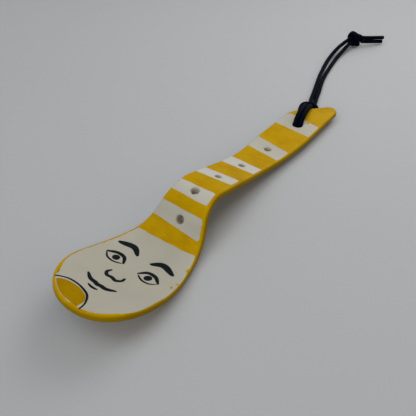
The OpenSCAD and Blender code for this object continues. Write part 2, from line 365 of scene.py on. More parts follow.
hole_middles = [on_middle_line(share * BLANK_LEN) for share in HOLE_SHARES]
hole_middles.append(on_middle_line(BLANK_LEN - CORD_HOLE_BACK))
hole_radii = [HOLE_R - glaze for glaze in GLAZE_IN_HOLES] + [CORD_HOLE_R]
border = outline + inward * EDGE_R
hole_rings = [circle(middle, radius + LIP_R) for middle, radius in zip(hole_middles, hole_radii)]
END = outline[:, 0].max()
top_flat, top_triangles = sheet(
    [border] + hole_rings, [(FINE_STEP, 0, FINE_UNTIL), (WIDE_STEP, FINE_UNTIL, END)]
)
back_radii = [radius * HOLE_TAPER for radius in hole_radii[:-1]] + [CORD_HOLE_R]
back_rings = [circle(middle, radius + LIP_R) for middle, radius in zip(hole_middles, back_radii)]
back_flat, back_triangles = sheet([border] + back_rings, [(BACK_STEP, 0, END)])
print("triangles on the top and the back:", len(top_triangles), len(back_triangles))

# %% [markdown]
# The rim was sponged round while the clay was soft, and each hole got a soft lip from the
# punch. Both are the same thing: rows of a quarter circle, a straight wall and another
# quarter circle that join the top's border to the back's. The whole skin is one closed mesh.

# %% The slab as one closed mesh
EDGE_STEPS = 6
LIP_STEPS = 3


def rounded_rows(radius, steps):
    """Rows between top and back: how far each is pushed out from the border, and its h."""
    turns = np.linspace(0, math.pi / 2, steps + 1)
    upper = np.stack([radius * np.sin(turns), radius * (np.cos(turns) - 1)], axis=1)
    lower = np.stack([upper[:, 0], -SLAB_T - upper[:, 1]], axis=1)[::-1]
    return np.vstack([upper, lower])[1:-1]


def add_wall(flat_parts, faces, top_ids, back_ids, ring, out_way, rows):
    """Adds rows of points between two rings of known points, and the quads that join them."""
    ids = [top_ids]
    for out, height in rows:
        start = sum(len(part) for part in flat_parts)
        place = ring + out_way * out
        flat_parts.append(np.column_stack([place, np.full(len(place), height)]))
        ids.append(np.arange(start, start + len(place)))
    ids.append(back_ids)
    for upper, lower in zip(ids, ids[1:]):
        faces += list(zip(upper, np.roll(upper, -1), np.roll(lower, -1), lower))


def slab_skin():
    """Flat places and faces of the whole slab."""
    top = np.column_stack([top_flat, np.zeros(len(top_flat))])
    back = np.column_stack([back_flat, np.full(len(back_flat), -SLAB_T)])
    parts = [top, back]
    faces = [tuple(t) for t in top_triangles] + [tuple(t[::-1] + len(top)) for t in back_triangles]
    first = 0
    for number, ring in enumerate([border] + hole_rings):
        ids = np.arange(first, first + len(ring))
        if number:
            out_way = (hole_middles[number - 1] - ring) / (hole_radii[number - 1] + LIP_R)
            narrowing = hole_radii[number - 1] - back_radii[number - 1]
            rows = rounded_rows(LIP_R, LIP_STEPS)
            rows[:, 0] -= rows[:, 1] / SLAB_T * narrowing
        else:
            out_way, rows = -inward, rounded_rows(EDGE_R, EDGE_STEPS)
        add_wall(parts, faces, ids, ids + len(top), ring, out_way, rows)
        first += len(ring)
    return np.vstack(parts), faces


slab_flat, slab_faces = slab_skin()
slab_raw = drape(slab_flat)
SEAT = np.array([-(slab_raw[:, 0].min() + slab_raw[:, 0].max()) / 2, 0, -slab_raw[:, 2].min()])
slab_points = slab_raw + SEAT


def make_mesh(name, points, faces):
    mesh = bpy.data.meshes.new(name)
    mesh.from_pydata([Vector(p) for p in points], [], [tuple(int(i) for i in f) for f in faces])
    mesh.validate()
    mesh.update()
    piece = bpy.data.objects.new(name, mesh)
    bpy.context.scene.collection.objects.link(piece)
    mesh.polygons.foreach_set("use_smooth", np.ones(len(mesh.polygons), bool))
    return piece


spoon = make_mesh("painted_spoon", slab_points, slab_faces)
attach(spoon, "spoon")
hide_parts("spoon")
heights = slab_points[:, 2] / MM
print("spoon points:", len(slab_points), "lowest and highest, mm:", heights.min(), heights.max())

# %% [markdown]
# Brush strokes and the cord are drawn through a few given points. A soft curve goes
# through all of them, and its own points are then spaced evenly. The strands of the knot are
# smoothed in the same way.

# %% Smooth lines
CURVE_SAMPLES = 24


def even_line(points, step):
    end = run_along(points)[-1]
    return at_places(points, np.linspace(0, end, max(2, round(end / step) + 1)))


def smooth_path(points, step):
    """A soft curve through all the points, in two or three dimensions, at even steps."""
    points = np.array(points, float)
    padded = np.vstack([2 * points[0] - points[1], points, 2 * points[-1] - points[-2]])
    curve = []
    for a, b, c, d in zip(padded, padded[1:], padded[2:], padded[3:]):
        steps = [math.sqrt(np.linalg.norm(q - p)) for p, q in ((a, b), (b, c), (c, d))]
        knots = np.cumsum([0] + steps)
        slope_b = (b - a) / knots[1] - (c - a) / knots[2] + (c - b) / (knots[2] - knots[1])
        slope_c = (
            (c - b) / (knots[2] - knots[1])
            - (d - b) / (knots[3] - knots[1])
            + (d - c) / (knots[3] - knots[2])
        )
        span = knots[2] - knots[1]
        t = np.linspace(0, 1, CURVE_SAMPLES, endpoint=False)[:, None]
        curve.append(
            (2 * t**3 - 3 * t**2 + 1) * b
            + (t**3 - 2 * t**2 + t) * span * slope_b
            + (3 * t**2 - 2 * t**3) * c
            + (t**3 - t**2) * span * slope_c
        )
    return even_line(np.vstack(curve + [points[-1:]]), step)


print("samples between two given points:", CURVE_SAMPLES)

# %% [markdown]
# Everything drawn on the spoon is described on the flat blank, in millimetres. Each colour gets a
# depth at every point of the mesh: how far that place lies inside its brush strokes, or below
# zero outside them. The shader cuts the colour off where the depth passes zero, so an edge is
# much sharper than the mesh, and a little noise makes it wander as a brush does. Each stripe
# is given by where it starts and ends at the left rim and at the right rim.

# %% Stripes, patches and strokes
PAINT_STEP = 0.45
CROSS_REACH = 14
BRUSH_PRESS = 0.6
FAR_OUTSIDE = -99.0
STRIPES = (
    ((78.4, 80.0), (90.6, 89.0)),
    ((102.6, 102.6), (111.4, 111.4)),
    ((121.0, 122.4), (136.0, 139.8)),
    ((146.8, 150.6), (166.2, 168.4)),
    ((179.8, 179.4), (203.8, 200.4)),
    ((220.6, 215.8), (246.8, 244.6)),
    ((267.4, 263.0), (400.0, 400.0)),
)


def stroke(places, points, width, tip=0.4):
    """Depth of a brush stroke, widest in its middle; its ends are tip times as wide."""
    line = smooth_path(points, PAINT_STEP)
    press = np.sin(np.linspace(0, math.pi, len(line))) ** BRUSH_PRESS
    depth = np.full(len(places), FAR_OUTSIDE)
    for middle, half in zip(line, width / 2 * (tip + (1 - tip) * press)):
        depth = np.maximum(depth, half - np.hypot(*(places - middle).T))
    return depth


def patch(places, ring):
    """Depth inside a closed line."""
    ring = even_ring(np.array(ring, float), PAINT_STEP)
    return np.where(inside(places, ring), 1, -1) * clearance(places, ring)


def stripe(places, start, end):
    """Depth between two edges that run from the left rim to the right rim."""
    left = (places[:, 1] / CROSS_REACH + 1) / 2
    first = start[1] + (start[0] - start[1]) * left
    last = end[1] + (end[0] - end[1]) * left
    return np.minimum(places[:, 0] - first, last - places[:, 0])


painted = slab_flat[:, :2] / MM
print("stripes across the handle:", len(STRIPES))

# %% [markdown]
# The bowl holds a calm, even face in its own plain design: brows, lids, pupils, a nose and a
# closed mouth with one short line under it. Brows and eyes are drawn once and mirrored, and each
# stroke has its own width and its own thinness at the ends.

# %% A plain face
FACE_MIDDLE = 1.0
MIRRORED = (
    (((60, 5.5), (64, 12), (61, 22.5)), 4.2, 0.3),
    (((48.5, 6), (53.2, 10), (53.4, 15.5), (49.5, 21)), 2.6, 0.4),
    (((47.6, 7), (45.3, 12), (45.8, 17), (48.6, 20.4)), 1.5, 0.5),
    (((49.3, 13.1), (49.6, 13.2)), 4.8, 1),
)
NOSE = ((38.5, -5.4), (35, -5.8), (32.6, -3.4), (33.2, 0), (32.6, 3.4), (35, 5.8), (38.5, 5.4))
MOUTH = ((25.4, -11), (22.6, -6), (22.4, -2), (21.9, 0), (22.4, 2), (22.6, 6), (25.4, 11))
UNDER_LIP = ((18.6, -3.6), (18, 0), (18.6, 3.6))


def face_strokes(places):
    drawn = []
    for points, width, tip in MIRRORED:
        for side in (1, -1):
            line = [(u, FACE_MIDDLE + side * v) for u, v in points]
            drawn.append(stroke(places, line, width, tip))
    for points, width in ((NOSE, 2.6), (MOUTH, 3), (UNDER_LIP, 1.8)):
        drawn.append(stroke(places, [(u, FACE_MIDDLE + v) for u, v in points], width))
    return np.maximum.reduce(drawn)


face_depth = face_strokes(painted)
print("points in the lines of the face:", int((face_depth > 0).sum()))

# %% [markdown]
# The rim is yellow all round. How far the colour comes onto the top face changes along each
# side in a few eased steps: from which u, over what length and by how much. Below, it goes round
# the lower edge and ends where the flat back begins, which is bare clay. At the chin a patch of
# yellow lies inside a thin black arc, and near the rim a few specks fell from the brush.

# %% Depth of each colour
CHIN_PATCH = (
    (7, 19.6), (10.6, 15.8), (12.2, 11.2), (12.6, 4.4), (10.2, -2.6), (7.4, -5.2), (1, -5),
)
BEYOND_CHIN = ((-8, -8), (-8, 26), (2, 26))
# The patch stops this far inside the edge and the rim's yellow starts just past it, so a thin white
# line is left on the rounded chin rim: a gap in the paint that also stands for a painted highlight
# there.
CHIN_HIGHLIGHT_GAP = 0.2
CHIN_LINE = ((8.2, 22), (11, 18), (13.4, 12.6), (13.8, 5), (11.4, -2.6), (6.2, -6.8), (0.8, -7.6))
CHIN_LINE_W, CHIN_LINE_TIP = 1.35, 0.6
BLACK_OVER_EDGE = 1.2
SPECKS = ((52, -27.8, 0.9), (56.5, -28.4, 0.7), (69.5, -26.2, 1.3), (262.4, -7, 1.5))
RIM_DAB = ((264.5, 14.2), (268, 13.6), (272, 12.6))
RIM_DAB_W, RIM_DAB_TIP = 2.6, 0.3
NEAR_RIM = (-0.2, ((8, 14, -1.4), (60, 35, 1.9), (140, 40, -1.0)))
FAR_RIM = (0.3, ((84, 6, -2.9),))
FAR_CHIN = (13, 8, 0.8)
CHIN_END = (12, 21.5)
WRAP = (SLAB_T + EDGE_R) / MM
YELLOW_ENDS = WRAP - 0.6
CLAY_BEGINS = WRAP - 0.5
CLAY_IN_HOLES = 4.2
NOT_RIM = -10
NEARLY = 1e-6


def round_the_edge(flat):
    """How far each place lies past the edge of the top face, in mm, over the rim and below."""
    rim_gap = clearance(flat[:, :2], even_line(np.vstack([border, border[:1]]), PAINT_STEP * MM))
    below = -flat[:, 2]
    out = np.where(below < NEARLY, -rim_gap, rim_gap + below)
    return np.where(below > SLAB_T - NEARLY, SLAB_T + EDGE_R + rim_gap, out) / MM


def stepped(u, start, steps):
    """A value that starts at one number and changes in eased steps along u."""
    return start + sum(change * ease((u - begin) / length) for begin, length, change in steps)


def rim_depth():
    u, v = painted.T
    near = past_edge + stepped(u, *NEAR_RIM)
    middle, reach, size = FAR_CHIN
    far = past_edge + stepped(u, *FAR_RIM) + size * np.exp(-(((u - middle) / reach) ** 2))
    return np.where((v < 0) | ((u < CHIN_END[0]) & (v < CHIN_END[1])), near, far)


def yellow_depth():
    chin = patch(painted, list(smooth_path(CHIN_PATCH, PAINT_STEP)) + list(BEYOND_CHIN))
    drawn = [stripe(painted, start, end) for start, end in STRIPES]
    drawn.append(np.minimum(chin, -CHIN_HIGHLIGHT_GAP - past_edge))
    drawn.append(stroke(painted, RIM_DAB, RIM_DAB_W, RIM_DAB_TIP))
    for u, v, radius in SPECKS:
        drawn.append(radius - np.hypot(painted[:, 0] - u, painted[:, 1] - v))
    drawn.append(rim_depth())
    return np.minimum(np.maximum.reduce(drawn), YELLOW_ENDS - past_edge)


in_hole_wall = np.zeros(len(slab_flat), bool)
for middle, radius in zip(hole_middles, hole_radii):
    in_hole_wall |= np.hypot(*(slab_flat[:, :2] - middle).T) < radius + LIP_R + NEARLY
past_edge = round_the_edge(slab_flat)
past_edge[in_hole_wall] = NOT_RIM
black_depth = np.maximum(stroke(painted, CHIN_LINE, CHIN_LINE_W, CHIN_LINE_TIP), face_depth)
black_depth = np.minimum(black_depth, BLACK_OVER_EDGE - past_edge)
bare_depth = past_edge - CLAY_BEGINS
bare_depth[in_hole_wall] = -slab_flat[in_hole_wall, 2] / MM - CLAY_IN_HOLES


def store(piece, name, values):
    """Keeps one number, or one place, at every point of a mesh for its shader."""
    kind, field = ("FLOAT", "value") if values.ndim == 1 else ("FLOAT_VECTOR", "vector")
    layer = piece.data.attributes.new(name, kind, "POINT")
    layer.data.foreach_set(field, values.astype(np.float32).ravel())


store(spoon, "blank_place", slab_flat / MM)
store(spoon, "yellow_depth", yellow_depth())
store(spoon, "black_depth", black_depth)
store(spoon, "bare_depth", bare_depth)
store(spoon, "past_edge", past_edge)
print("painted points:", int((black_depth > 0).sum()), "black")

# %% [markdown]
# The cord is one length of round leather, hitched through the last hole. Both strands come in
# over the slanted end, run in an arch to the hole, go down through it and forward again under
# the slab, and there a bar joins them round the strands: a girth hitch. Its route is kept as
# points measured from the middle of that hole, along the spoon, to its left and above the
# table, in millimetres. The hitch is symmetric, so it has only half of its points, measured
# along and across its own direction. Its arch and its bar then sink a little, as pulled cord
# lies, and the two tails reach a little further.

# %% Routes of the cord
HITCH_ANGLE = math.radians(13)
HITCH_HALF = (
    (44.6, 2.05, 2), (42.5, 2.05, 2.3), (39.5, 2.05, 3.3), (37, 2.05, 5), (34.5, 2.05, 7.4),
    (31.5, 2.05, 10.2), (28, 2.05, 12.3), (23.5, 2.05, 14.4), (17, 2.05, 16.2), (11, 2.05, 16.7),
    (6.2, 2.05, 15.3), (2.8, 2.05, 12.9), (0.9, 2.05, 10.4), (0.5, 2.05, 5.6), (1.1, 2.05, 3.2),
    (3.3, 2.2, 2), (12, 3.2, 2), (22, 5.2, 2), (28.5, 6.5, 2), (33, 7, 2.1), (37, 7, 4),
    (38.9, 6, 6.3), (39.2, 3.6, 8.3), (39.2, 0, 9),
)
ARCH_FROM = 11
ARCH_SINKS = 0.35
BAR_SINKS = (0.1, 0.5, 1.2, 1.4)
STRAND_LEFT = (
    (43, 12.03, 2), (48.3, 13.3, 2), (57.3, 16.3, 2), (68.5, 19.9, 2), (91.8, 27.8, 2),
    (104.2, 31.7, 2), (117.5, 35.4, 2), (131, 38.7, 2.3), (143.5, 40.7, 3.6), (155.2, 41, 5.9),
    (164, 40.5, 7.7), (171.6, 39.7, 8.8), (179.9, 38.8, 9.4),
)
STRAND_RIGHT = (
    (43.92, 8.04, 2), (49.2, 9.2, 2), (59.8, 12.8, 2), (71.1, 16.4, 2), (94.3, 24.3, 2),
    (107.3, 27.7, 2), (121.4, 30.6, 2), (136, 33.3, 2), (150.2, 35.2, 2.7), (163.3, 35.8, 4.4),
    (171.5, 35.8, 5.9), (177.8, 35.5, 7.1),
)
END_LONG = ((193.2, 28.8, 10.2), (201.1, 22.8, 9), (209.9, 16.7, 7.8), (213.8, 14.2, 7.2))
END_SHORT = ((192.8, 28.3, 6.2), (201.6, 21.9, 4.9), (208.6, 16.8, 3.9), (212, 14.5, 3.4))
TAIL_SPARE = 2.4
cord_hole = drape(np.array([[*hole_middles[-1], 0]]))[0] + SEAT


def on_table(route):
    """A route in metres in the shared frame."""
    return np.array(route) * MM + (cord_hole[0], cord_hole[1], 0)


def turned(route, angle):
    """A route given along and across a direction, turned to lie along the spoon's axes."""
    x, y, z = np.array(route).T
    c, s = math.cos(angle), math.sin(angle)
    return np.stack([x * c - y * s, x * s + y * c, z], axis=1)


def reaching(route, further):
    """The same route with its last point moved on in its own direction."""
    route = np.array(route, float)
    way = route[-1] - route[-2]
    route[-1] += way / np.linalg.norm(way) * further
    return route


def length_of(path):
    return float(np.linalg.norm(np.diff(path, axis=0), axis=1).sum())


PATH_STEP = 0.8 * MM
hitch_half = np.array(HITCH_HALF)
hitch_half[:, 2] -= np.maximum(hitch_half[:, 2] - ARCH_FROM, 0) * ARCH_SINKS
hitch_half[-len(BAR_SINKS):, 2] -= BAR_SINKS
routes = {
    "hitch": turned(np.vstack([hitch_half, (hitch_half * (1, -1, 1))[-2::-1]]), HITCH_ANGLE),
    "strand_left": STRAND_LEFT,
    "strand_right": STRAND_RIGHT,
    "tail_long": reaching(END_LONG, TAIL_SPARE),
    "tail_short": reaching(END_SHORT, TAIL_SPARE),
}
cord_paths = {name: smooth_path(on_table(route), PATH_STEP) for name, route in routes.items()}

# %% [markdown]
# Leather cord is never quite round or quite even. Each ring of the tube takes its radius from
# a slow noise along the cord, and its ends are cut straight with a small worn edge. The rings
# are carried along the path without twisting, so that the grain runs straight. In the hitch the
# cord is pulled flat and wide, so it is a little thicker there where it is clear of the table.

# %% Tubes of leather
TUBE_SIDES = 20
CUT_EDGE = 0.35 * MM
UNEVEN = 0.025
UNEVEN_LEN = 9 * MM
SEED_APART = 10
PLACES_APART = 200
SNUG = 1.11
SNUG_FROM = 2.2 * MM
SNUG_OVER = 3 * MM


def carried_frames(path, up=(0.1, 1, 0.1)):
    """Directions along and square to the path at each point, carried along without twist."""
    way = np.gradient(path, axis=0)
    way /= np.linalg.norm(way, axis=1)[:, None]
    up, ups = np.array(up, float), []
    for t in way:
        up = up - t * (up @ t)
        up = up / np.linalg.norm(up)
        ups.append(up)
    ups = np.array(ups)
    return way, ups, np.cross(way, ups)


def tube_parts(path, radii, seed):
    """Points, faces and cord places of a closed tube along a path, with blunt ends."""
    way, ups, sides = carried_frames(path)
    turns = 2 * math.pi * np.arange(TUBE_SIDES) / TUBE_SIDES
    ring_way = ups[:, None] * np.cos(turns)[:, None] + sides[:, None] * np.sin(turns)[:, None]
    run = run_along(path)
    radius = np.empty((len(path), TUBE_SIDES))
    for i, length in enumerate(run):
        for k, turn in enumerate(turns):
            place = (length / UNEVEN_LEN + seed * SEED_APART, math.cos(turn), math.sin(turn))
            radius[i, k] = radii[i] * (1 + UNEVEN * noise.noise(place))
    rings = path[:, None] + ring_way * radius[:, :, None]
    first = path[0] - way[0] * CUT_EDGE + ring_way[0] * (radius[0, :, None] - CUT_EDGE)
    last = path[-1] + way[-1] * CUT_EDGE + ring_way[-1] * (radius[-1, :, None] - CUT_EDGE)
    points = np.vstack([first, rings.reshape(-1, 3), last, first.mean(axis=0), last.mean(axis=0)])
    count, faces = len(path) + 2, []
    for i in range(count - 1):
        for k in range(TUBE_SIDES):
            a, b = i * TUBE_SIDES + k, i * TUBE_SIDES + (k + 1) % TUBE_SIDES
            faces.append((a, b, b + TUBE_SIDES, a + TUBE_SIDES))
    end = (count - 1) * TUBE_SIDES
    for k in range(TUBE_SIDES):
        other = (k + 1) % TUBE_SIDES
        faces.append((other, k, len(points) - 2))
        faces.append((end + k, end + other, len(points) - 1))
    lengths = np.concatenate([[run[0]], run, [run[-1]]]) / MM + seed * PLACES_APART
    skin = CORD_D / 2 * np.stack([np.cos(turns), np.sin(turns)], axis=1)
    places = [(length, *side) for length in lengths for side in skin]
    return points, faces, np.array(places + [(lengths[0], 0, 0), (lengths[-1], 0, 0)])


def cord_piece(name, paths, seed, squeeze=None):
    """One piece of cord from one tube or more; squeeze gives the thickness along each."""
    points, faces, places = np.empty((0, 3)), [], np.empty((0, 3))
    for number, path in enumerate(paths):
        share = np.ones(len(path)) if squeeze is None else squeeze(path)
        part = tube_parts(path, CORD_D / 2 * MM * share, seed + number)
        faces += [tuple(i + len(points) for i in face) for face in part[1]]
        points, places = np.vstack([points, part[0]]), np.vstack([places, part[2]])
    piece = make_mesh(name, points, faces)
    store(piece, "cord_place", places)
    return piece


def swollen(path):
    """The hitch is pressed thicker where it is clear of the table."""
    return 1 + (SNUG - 1) * ease((path[:, 2] - SNUG_FROM) / SNUG_OVER)


hitch = cord_piece("hitch", [cord_paths["hitch"]], 1, swollen)
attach(hitch, "spoon")
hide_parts("cord_hitch")
strand_left = cord_piece("strand_left", [cord_paths["strand_left"]], 2)
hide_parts("cord_strand_left")
strand_right = cord_piece("strand_right", [cord_paths["strand_right"]], 3)
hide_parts("cord_strand_right")
tail_long = cord_piece("tail_long", [cord_paths["tail_long"]], 4)
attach(tail_long, "cord")
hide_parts("cord_end_long")
tail_short = cord_piece("tail_short", [cord_paths["tail_short"]], 5)
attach(tail_short, "cord")
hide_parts("cord_end_short")
cord_pieces = (hitch, strand_left, strand_right, tail_long, tail_short)
print("points in each piece:", {piece.name: len(piece.data.vertices) for piece in cord_pieces})

# %% [markdown]
# The knot is an overhand knot in both strands at once. It starts as a loose loop from a
# formula, rolled about its own axis and doubled. Its ends are held on the ends of the strands
# and of the tails.

# %% The knot, still loose
KNOT_MIDDLE = (193.6, 33.9, 12.8)
KNOT_HEADING = math.radians(-19)
KNOT_ROLL = math.radians(78)
KNOT_SIZE = 4.5
KNOT_D = 3.4
KNOT_POINTS = 90
LOOP_REACH = 2.1
LOOP_SAMPLES = 500
LOOP_ACROSS, LOOP_UP = 0.6, 0.8
LOOSE_GAP = 1.08
LEAD = 2
END_GRIP = 3
GRIP_STEP = 0.7


def loose_loops():
    """The doubled loop before it is pulled, in millimetres from the cord's hole."""
    t = np.linspace(-LOOP_REACH, LOOP_REACH, LOOP_SAMPLES)
    across, up = LOOP_ACROSS * (t**4 - 4 * t**2), LOOP_UP * (2 * t - t**5 / 5)
    loop = KNOT_SIZE * np.stack([t**3 - 3 * t, across, up], axis=1)
    loop[:, 1] -= loop[:, 1].min() / 2
    apart = carried_frames(loop, (0, 1, 0))[1] * KNOT_D / 2 * LOOSE_GAP
    turn = Matrix.Rotation(KNOT_HEADING, 3, "Z") @ Matrix.Rotation(KNOT_ROLL, 3, "X")
    turn = np.array(turn.transposed())
    return [(loop + side * apart) @ turn + KNOT_MIDDLE for side in (1, -1)]


def towards(a, b):
    way = np.subtract(b, a)
    return way / np.linalg.norm(way)


def strand_of(loop, before, after):
    """The loop between two routes, with the places where its ends are held."""
    start, way_in = np.array(before[-1]), towards(before[-2], before[-1])
    end, way_out = np.array(after[0]), towards(after[0], after[1])
    line = np.vstack([start - LEAD * way_in, start, loop, end, end + LEAD * way_out])
    line = at_places(line, np.linspace(0, run_along(line)[-1], KNOT_POINTS))
    for k in range(END_GRIP):
        line[k] = start + way_in * (k - END_GRIP + 1) * GRIP_STEP
        line[-1 - k] = end - way_out * (k - END_GRIP + 1) * GRIP_STEP
    return line


loops = loose_loops()
loose_strands = [
    strand_of(loops[0], STRAND_LEFT, END_LONG),
    strand_of(loops[1], STRAND_RIGHT, END_SHORT),
]
print("loose strands in mm:", [round(length_of(strand), 1) for strand in loose_strands])

# %% [markdown]
# To pull the knot tight, both strands get shorter step by step. In each step they also resist
# bending, stay side by side and push each other away where they touch, until the knot has
# drawn itself together as leather does.

# %% Pulling the knot tight
TIGHT_LEN = 62.8
PULLS = 450
PULLED_BY = 0.8
PULL_EASE = 1.5
SHORTENINGS = 9
PUSHES = 3
PUSH_STRENGTH = 1.6
STIFFNESS = 0.04
WIDE_SHARE = 0.35
PAIR_GAP = 1.01
BEND_ROOM = 1.1
MAY_TOUCH = 1.8
KNOT_LOWEST = KNOT_D / 2 + 0.1
TINY = 1e-6
all_first, all_second = np.triu_indices(2 * KNOT_POINTS, 1)
same_strand = all_first // KNOT_POINTS == all_second // KNOT_POINTS


def shorten(points, segments):
    """Moves neighbours to their distance, odd and even pairs in turn."""
    for odd in (0, 1):
        i = np.arange(odd, len(points) - 1, 2)
        i = i[i != KNOT_POINTS - 1]
        gap = points[i + 1] - points[i]
        length = np.linalg.norm(gap, axis=1)
        move = gap * ((length - segments[i]) / np.maximum(length, TINY) / 2)[:, None]
        points[i] += move
        points[i + 1] -= move


def straighten(points, reach, amount):
    """Moves each point towards the middle of its neighbours at a distance along the strand."""
    i = np.arange(reach, len(points) - reach)
    i = i[(i - reach) // KNOT_POINTS == (i + reach) // KNOT_POINTS]
    points[i] += amount * ((points[i - reach] + points[i + reach]) / 2 - points[i])


def keep_paired(points):
    """Brings the two strands side by side, apart from their held ends."""
    left, right = points[:KNOT_POINTS], points[KNOT_POINTS:]
    gap = right - left
    width = np.linalg.norm(gap, axis=1)
    move = gap * ((width - KNOT_D * PAIR_GAP) / width / 4)[:, None]
    move[:END_GRIP] = 0
    move[-END_GRIP:] = 0
    left += move
    right -= move


def near_pairs(points, step):
    """Pairs of points that may touch: near in space, and not just neighbours on one strand."""
    skip = max(3, math.ceil(math.pi * KNOT_D / 2 * BEND_ROOM / step))
    near = np.linalg.norm(points[all_second] - points[all_first], axis=1) < KNOT_D * MAY_TOUCH
    near &= ~(same_strand & (all_second - all_first < skip))
    return all_first[near], all_second[near]


def push_apart(points, first, second):
    """Moves points apart that are nearer than one thickness."""
    gap = points[second] - points[first]
    length = np.maximum(np.linalg.norm(gap, axis=1), TINY)
    close = length < KNOT_D
    first, second = first[close], second[close]
    move = gap[close] * ((KNOT_D - length[close]) / length[close] / 2)[:, None]
    total, count = np.zeros_like(points), np.zeros(len(points))
    for ids, way in ((first, -move), (second, move)):
        np.add.at(total, ids, way)
        np.add.at(count, ids, 1)
    points += PUSH_STRENGTH * total / np.maximum(count, 1)[:, None]


def pull_tight(strands):
    """Draws both strands tight and returns them, in millimetres."""
    points = np.vstack(strands)
    ends = np.append(np.arange(END_GRIP), KNOT_POINTS - 1 - np.arange(END_GRIP))
    held = np.append(ends, KNOT_POINTS + ends)
    places = points[held].copy()
    start_len = np.array([length_of(strand) for strand in strands])
    for pull in range(PULLS):
        share = 1 - (1 - min(1, pull / (PULLS * PULLED_BY))) ** PULL_EASE
        length = start_len + (TIGHT_LEN - start_len) * share
        segments = np.repeat(length / (KNOT_POINTS - 1), KNOT_POINTS)
        for _ in range(SHORTENINGS):
            shorten(points, segments)
            points[held] = places
        for reach, part in ((1, 1), (3, WIDE_SHARE), (5, WIDE_SHARE)):
            straighten(points, reach, STIFFNESS * part)
        keep_paired(points)
        if pull % 2 == 0:
            first, second = near_pairs(points, length.mean() / (KNOT_POINTS - 1))
        for _ in range(PUSHES):
            push_apart(points, first, second)
            points[:, 2] = np.maximum(points[:, 2], KNOT_LOWEST)
            points[held] = places
    return points[:KNOT_POINTS], points[KNOT_POINTS:]


tight_strands = pull_tight(loose_strands)
print("tight strands in mm:", [round(length_of(strand), 1) for strand in tight_strands])

# %% [markdown]
# Pulled leather is drawn thin inside a knot and stays full at its ends. The whole knot is then
# pressed a little shorter along the cord, moved a little towards the strands and leaned over,
# while its held ends stay where they are.

# %% The knot as one piece
KNOT_SHORTER = 0.16
KNOT_LEAN = np.array([-0.09, 0.12, 0.15])
KNOT_SHIFT = np.array([-1.1, 1.4, 0.3])
HELD_SHARE = 0.12
KNOT_STEP = 0.6 * MM
THIN_AFTER = 9 * MM
FULL_SHARE = 0.97
THIN_SHARE = 1.03 * KNOT_D / CORD_D


def squeezed(path):
    """Thickness along a strand of the knot: full at its ends, drawn thin inside."""
    run = run_along(path)
    inside_knot = ease(np.minimum(run, run[-1] - run) / THIN_AFTER)
    return FULL_SHARE - (FULL_SHARE - THIN_SHARE) * inside_knot


def pressed(strand):
    share = np.linspace(0, 1, len(strand))
    fade = ease(np.minimum(share, 1 - share) / HELD_SHARE)[:, None]
    axis = np.array([math.cos(KNOT_HEADING), math.sin(KNOT_HEADING), 0])
    away = strand - KNOT_MIDDLE
    move = away[:, 2:] * KNOT_LEAN - (away @ axis)[:, None] * axis * KNOT_SHORTER
    pulled = strand + (move + KNOT_SHIFT) * fade
    pulled[:, 2] = np.maximum(pulled[:, 2], KNOT_LOWEST)
    return pulled


knot_paths = [smooth_path(on_table(pressed(strand)), KNOT_STEP) for strand in tight_strands]
knot = cord_piece("knot", knot_paths, 6, squeezed)
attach(knot, "cord")
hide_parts("cord_knot")
low, high = np.vstack(knot_paths).min(axis=0), np.vstack(knot_paths).max(axis=0)
print("knot reaches in mm from", np.round(low / MM, 1), "to", np.round(high / MM, 1))
print("cord in the knot in mm:", [round(length_of(path) / MM, 1) for path in knot_paths])

# %% [markdown]
# The strands run from the hitch to the knot, and their places are baked into their meshes.
# Both are limp loose cord that ends in the knot.


for piece in (strand_left, strand_right):
    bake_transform(piece)

# %% [markdown]
# The world and all materials are made of shader nodes. These helpers place a node, give each
# of its inputs a socket or a value, and hand back its output, so that the code for a material
# reads like its recipe.

# %% Helpers for shader nodes
MIX_FACTOR, MIX_A, MIX_B, MIX_RESULT = 0, 6, 7, 2


def feed(tree, node, links):
    for name, value in links.items():
        if isinstance(value, bpy.types.NodeSocket):
            tree.links.new(value, node.inputs[name])
        else:
            node.inputs[name].default_value = value


def add_node(tree, kind, links, **settings):
    """A shader node with its settings, and sockets or values for its inputs."""
    node = tree.nodes.new(kind)
    for name, value in settings.items():
        setattr(node, name, value)
    feed(tree, node, links)
    return node


def maths(tree, operation, *values, clamp=False):
    links = dict(enumerate(values))
    return add_node(tree, "ShaderNodeMath", links, operation=operation, use_clamp=clamp).outputs[0]


def mixed(tree, factor, a, b, kind="MIX"):
    links = {MIX_FACTOR: factor, MIX_A: a, MIX_B: b}
    node = add_node(tree, "ShaderNodeMix", {}, data_type="RGBA", blend_type=kind)
    feed(tree, node, links)
    return node.outputs[MIX_RESULT]


def rgb(red, green, blue):
    return (red, green, blue, 1)


print("helpers ready in Blender", bpy.app.version_string)

# %% [markdown]
# The table stands in a bright room, so soft light reaches it from all round: a high window to
# the left, a pale wall beyond each end of the table, the ceiling, and a weak warm wall to the
# right. Each is a large square of light, given by its tilt from straight up, its direction
# round the table, its power and its colour. A small lamp near the cord lifts the far end. The
# world adds a little light from everywhere. Light Path tells it when the camera, or a gloss,
# looks straight at it, and there it shows as a pale backdrop.

# %% Floor and light
ROOM_LIGHT = 0.16
BACKDROP = 0.45
LIGHT_DISTANCE = 2.4
LIGHT_SIZE = 1.6
PLAIN = (1, 1, 1)
COOL = (0.955, 1.0, 1.05)
WARM = (1.0, 0.82, 0.54)
SOFT_LIGHTS = (
    ("window", 30, 135, 13.6, COOL),
    ("near_wall", 60, 185, 23.4, PLAIN),
    ("far_wall", 60, 0, 20.8, PLAIN),
    ("ceiling", 0, 0, 7.4, COOL),
    ("right_wall", 60, 290, 8.0, WARM),
)
LAMP_AT = Vector((0.3, -0.02, 0.4))
LAMP_AIM = Vector((0.24, -0.02, 0))
LAMP_SIZE = 0.4
LAMP_POWER = 0.53
FLOOR_SIZE = 6


